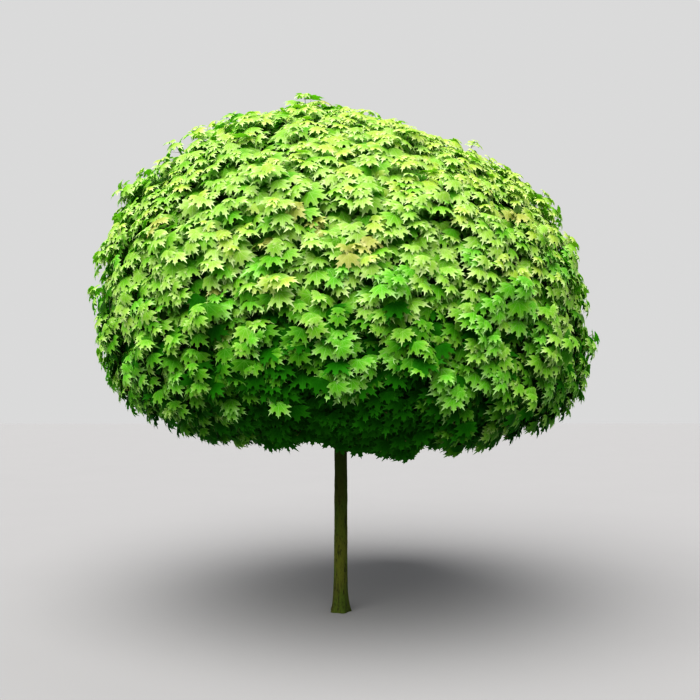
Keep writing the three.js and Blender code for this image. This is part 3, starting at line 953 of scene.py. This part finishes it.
def leaf_finish(name, gloss, blade_colour, edge_colour, pale_colour):
    """A leaf blade of one tint, with veins, a fine net and light that comes through."""
    material, wire = new_material(name)
    spot = wire.node("ShaderNodeUVMap", {"uv_map": LEAF_MAP}, {})
    x = wire.node("ShaderNodeSeparateXYZ", {}, {0: spot}, output="X") * MAP_SIZE[0] + MAP_CORNER[0]
    y = wire.node("ShaderNodeSeparateXYZ", {}, {0: spot}, output="Y") * MAP_SIZE[1] + MAP_CORNER[1]
    side = abs(x)
    veins = None
    for tip_x, tip_y in VEIN_TIPS:
        length = math.hypot(tip_x, tip_y)
        off = abs(side * (tip_y / length) - (y - STALK_END[1]) * (tip_x / length))
        line = 1 - off.between(*VEIN_EDGE)
        veins = line if veins is None else wire.math("MAXIMUM", veins, line)
    up = y - BLADE_CENTRE
    away = wire.math("SQRT", side * side + up * up)
    net = {"Vector": spot, "Scale": NET_SCALE}
    cells = wire.node("ShaderNodeTexVoronoi", {"feature": "DISTANCE_TO_EDGE"}, net, output="Distance")
    # Painted shade: the blade's middle darker, as under the leaf above, paling towards the rim
    edged = away.between(*RIM_FROM).mixed(blade_colour, edge_colour)
    tipped = (away.between(*TIPS_FROM) * TIPS_SHARE).mixed(edged, pale_colour)
    netted = ((1 - cells.between(0.0, 0.12)) * NET_SHARE).mixed(tipped, pale_colour)
    colour = (veins * VEIN_SHARE).mixed(netted, pale_colour)
    folds = cells.between(0.0, 0.3) - veins
    bump = wire.node("ShaderNodeBump", {}, {"Strength": 0.3, "Distance": 0.003, "Height": folds})
    values = {"Base Color": colour, "Roughness": 0.44 + 0.16 * cells, "Normal": bump}
    upper = wire.node("ShaderNodeBsdfPrincipled", {}, {**values, "Specular IOR Level": gloss})
    red, green, blue, _ = blade_colour
    through = (GLOW_KEPT * red, green, GLOW_KEPT * blue, 1.0)
    glow = wire.node("ShaderNodeBsdfTranslucent", {}, {"Color": through})
    finish_material(wire, wire.node("ShaderNodeMixShader", {}, {0: GLOW_SHARE, 1: upper, 2: glow}))
    return material


def leaf_mesh(points, shape, faces):
    """Joined leaves: vertices, faces and each corner's place on its own blade."""
    starts = np.arange(len(points)) * len(shape)
    corners = (faces[None] + starts[:, None, None]).reshape(-1, 3)
    spots = ((shape - MAP_CORNER) / MAP_SIZE)[corners.ravel() % len(shape)]
    return points.reshape(-1, 3), corners, spots


for i, (name, slot, *looks) in enumerate(TINTS):
    chosen = leaf_fits & (leaf_tint == i)
    vertices, corners, spots = leaf_mesh(leaf_points[chosen], blade, blade_faces)
    within = shade_points[shade_fits & (shade_tint == i)]
    more_vertices, more_corners, more_spots = leaf_mesh(within, shade_blade, shade_faces)
    kinds = [corners, more_corners + len(vertices)]
    spots = np.concatenate([spots, more_spots])
    leaves = made_piece(name, np.concatenate([vertices, more_vertices]), kinds)
    leaves.data.uv_layers.new(name=LEAF_MAP).uv.foreach_set("vector", spots.astype(np.float32).ravel())
    leaves.data.materials.append(leaf_finish(name + "_finish", *looks))
    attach(leaves, "root")
    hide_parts(*foliage_nodes)

# Leaf stalks
# Thin round stalks, green to reddish, that carry each blade clear of its shoot. They are part of the
# leaf and grow from the shoots in opposite pairs, and singly from the twigs within.
STALK_RADII = (0.0011, 0.0008)
STALK_SIDES = 3
STALK_GREEN = paint(104, 144, 52)
STALK_RED = paint(132, 96, 54)
stalk_starts = np.concatenate([leaf_nodes[leaf_fits], shade_nodes[shade_fits]])
stalk_paths = np.stack([stalk_starts, np.concatenate([stalk_ends[leaf_fits], shade_ends[shade_fits]])], 1)
stalks = made_piece("leaf_stalks", *swept(stalk_paths, np.array(STALK_RADII), STALK_SIDES))


def stalk_finish():
    """Smooth green stalks with a reddish blush in places."""
    material, wire = new_material("leaf_stalk")
    place = wire.node("ShaderNodeTexCoord", {}, {}, output="Object")
    blush = place.noise(7, 3)
    colour = blush.between(0.45, 0.65).mixed(STALK_GREEN, STALK_RED)
    values = {"Base Color": colour, "Roughness": 0.4 + 0.2 * blush}
    finish_material(wire, wire.node("ShaderNodeBsdfPrincipled", {}, values))
    return material


stalks.data.materials.append(stalk_finish())
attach(stalks, "root")
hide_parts(*foliage_nodes)

# Floor and light
# A plain pale studio floor under the tree, which is no part of it. The light is an even white sky and
# one broad soft key, a little warm, from above, in front and to the left.
FLOOR_REACH = 60.0
FLOOR_GREYS = (paint(131, 131, 134), paint(133, 133, 136))
SKY_WHITE = (1.0, 1.0, 1.0, 1.0)
SKY_STRENGTH = 0.52
KEY_STRENGTH = 5.8
KEY_WIDTH = 70
KEY_COLOUR = (1.0, 0.98, 0.92)
KEY_TILT = 35
KEY_TURN = -18
floor_corners = FLOOR_REACH * np.array([(-1, -1, 0), (1, -1, 0), (1, 1, 0), (-1, 1, 0)])
floor = made_piece("floor", floor_corners, [np.array([(0, 1, 2, 3)])])
floor_material, floor_wire = new_material("studio_floor")
floor_place = floor_wire.node("ShaderNodeTexCoord", {}, {}, output="Object")
floor_colour = floor_place.noise(0.8, 3).mixed(*FLOOR_GREYS)
floor_values = {"Base Color": floor_colour, "Roughness": 0.95}
finish_material(floor_wire, floor_wire.node("ShaderNodeBsdfPrincipled", {}, floor_values))
floor.data.materials.append(floor_material)

world = bpy.data.worlds.new("studio")
world.use_nodes = True
world.node_tree.nodes["Background"].inputs["Color"].default_value = SKY_WHITE
world.node_tree.nodes["Background"].inputs["Strength"].default_value = SKY_STRENGTH
bpy.context.scene.world = world
key_data = bpy.data.lights.new("key", "SUN")
key_data.energy = KEY_STRENGTH
key_data.angle = math.radians(KEY_WIDTH)
key_data.color = KEY_COLOUR
key = placed("key", key_data)
key.rotation_euler = (math.radians(KEY_TILT), 0.0, math.radians(KEY_TURN))
bpy.context.scene.view_settings.view_transform = "Standard"
bpy.context.scene.view_settings.look = "High Contrast"
